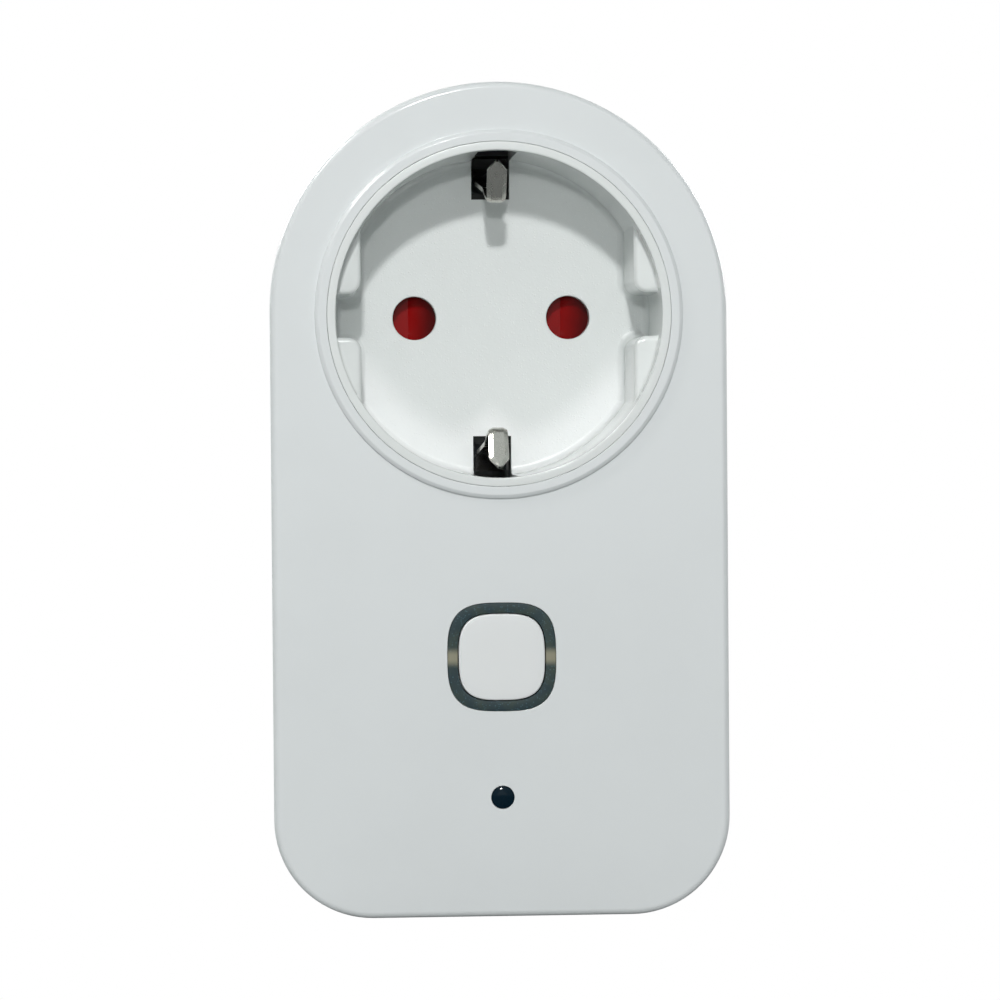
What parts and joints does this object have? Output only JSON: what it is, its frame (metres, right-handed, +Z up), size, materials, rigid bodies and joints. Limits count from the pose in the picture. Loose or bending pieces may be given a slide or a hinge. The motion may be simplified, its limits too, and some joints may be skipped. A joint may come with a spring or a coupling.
{
  "type": "smart plug",
  "caption": "Switched pass-through mains adapter: earthed round outlet and lit push button on the front, earthed mains plug behind.",
  "frame": {"origin": "centre of the plug's end face, midway between its two pins", "axes": "+X right and +Z up as seen from the front, +Y into the wall along the pins"},
  "size_m": [0.0546, 0.0727, 0.0997],
  "materials": {
    "case": "satin moulded, very fine grain",
    "outlet_insert": "semi-gloss moulded, fine speckle on the floor",
    "button": "satin",
    "light_ring": "smoked translucent, fine speckle",
    "light_guide": "milky",
    "indicator_lens": "smoked, polished",
    "shutter": "semi-gloss red",
    "carrier": "moulded black",
    "contact_brass": "bright stamped",
    "plug_metal": "nickel plate",
    "clip_metal": "nickel plate, coined edges",
    "spring_steel": "drawn wire",
    "steel_parts": "plated",
    "screws": "zinc plated",
    "boards": "green solder mask",
    "black_parts": "moulded black",
    "blue_parts": "dipped epoxy",
    "yellow_parts": "moulded box and tape",
    "ceramic_parts": "glazed tube",
    "ferrite": "sintered",
    "copper_winding": "enamelled wire",
    "shield": "tinned",
    "leds": "clear over phosphor",
    "wire_brown": "insulation",
    "wire_blue": "insulation"
  },
  "bodies": {
    "housing": {"front_cover": "case", "rear_housing": "case", "socket_insert": "outlet_insert", "contact_carrier": "carrier", "contact_live": "contact_brass", "contact_neutral": "contact_brass", "earth_bar": "contact_brass", "plug_pin_live": "plug_metal", "plug_pin_neutral": "plug_metal", "plug_earth_strip_upper": "plug_metal", "plug_earth_strip_lower": "plug_metal", "plug_earth_sleeve": "contact_brass", "pin_retainer": "carrier", "retainer_screw_1": "screws", "retainer_screw_2": "screws", "case_screw_1": "screws", "case_screw_2": "screws", "case_screw_3": "screws", "case_screw_4": "screws", "control_screw_1": "screws", "control_screw_2": "screws", "power_screw_1": "screws", "power_screw_2": "screws", "light_ring": "light_ring", "light_guide": "light_guide", "indicator_lens": "indicator_lens", "led_left": "leds", "led_right": "leds", "indicator_led": "leds", "tact_switch_body": "black_parts", "control_board": "boards", "radio_board": "boards", "radio_shield": "shield", "link_header": "black_parts", "power_board": "boards", "relay_cover": "black_parts", "relay_base": "black_parts", "relay_coil": "copper_winding", "relay_yoke": "steel_parts", "relay_contact_fixed": "contact_brass", "transformer_core": "ferrite", "transformer_bobbin": "yellow_parts", "film_capacitor": "yellow_parts", "bulk_capacitor": "black_parts", "output_capacitor": "black_parts", "varistor": "blue_parts", "fuse": "ceramic_parts", "choke": "ferrite", "wire_live_in": "wire_brown", "wire_live_out": "wire_brown", "wire_neutral": "wire_blue", "shutter_spring": "spring_steel"},
    "upper_clip": {"earth_clip_upper": "clip_metal"},
    "lower_clip": {"earth_clip_lower": "clip_metal"},
    "shutter_slider": {"shutter": "shutter"},
    "key": {"button_cap": "button"},
    "tact_plunger": {"tact_switch_plunger": "button"},
    "armature": {"relay_armature": "steel_parts"}
  },
  "joints": [
    {"name": "key_press", "type": "slide", "parent": "housing", "child": "key", "axis": [0, 1, 0], "range_m": [0, 0.0005], "stiffness_N_per_m": 2000, "springref_m": -0.0003},
    {"name": "tact_press", "type": "slide", "parent": "housing", "child": "tact_plunger", "axis": [0, 1, 0], "range_m": [0, 0.0005]},
    {"name": "shutter_slide", "type": "slide", "parent": "housing", "child": "shutter_slider", "axis": [1, 0, 0], "range_m": [0, 0.0058], "stiffness_N_per_m": 200, "springref_m": -0.003, "deforming": ["shutter_spring"]},
    {"name": "earth_clip_upper_flex", "type": "hinge", "parent": "housing", "child": "upper_clip", "pos_m": [0, -0.0255, 0.0188], "axis": [-1, 0, 0], "range_deg": [0, 7.3], "stiffness_Nm_per_rad": 1.5, "springref_deg": -1.15},
    {"name": "earth_clip_lower_flex", "type": "hinge", "parent": "housing", "child": "lower_clip", "pos_m": [0, -0.0255, -0.0188], "axis": [1, 0, 0], "range_deg": [0, 7.3], "stiffness_Nm_per_rad": 1.5, "springref_deg": -1.15},
    {"name": "relay_armature_pivot", "type": "hinge", "parent": "housing", "child": "armature", "pos_m": [-0.01425, -0.0366, -0.0439], "axis": [-1, 0, 0], "range_deg": [0, 4], "stiffness_Nm_per_rad": 0.01, "springref_deg": -11.46}
  ],
  "couplings": [
    {"joint": "tact_press", "follows": "key_press", "ratio": 1}
  ]
}
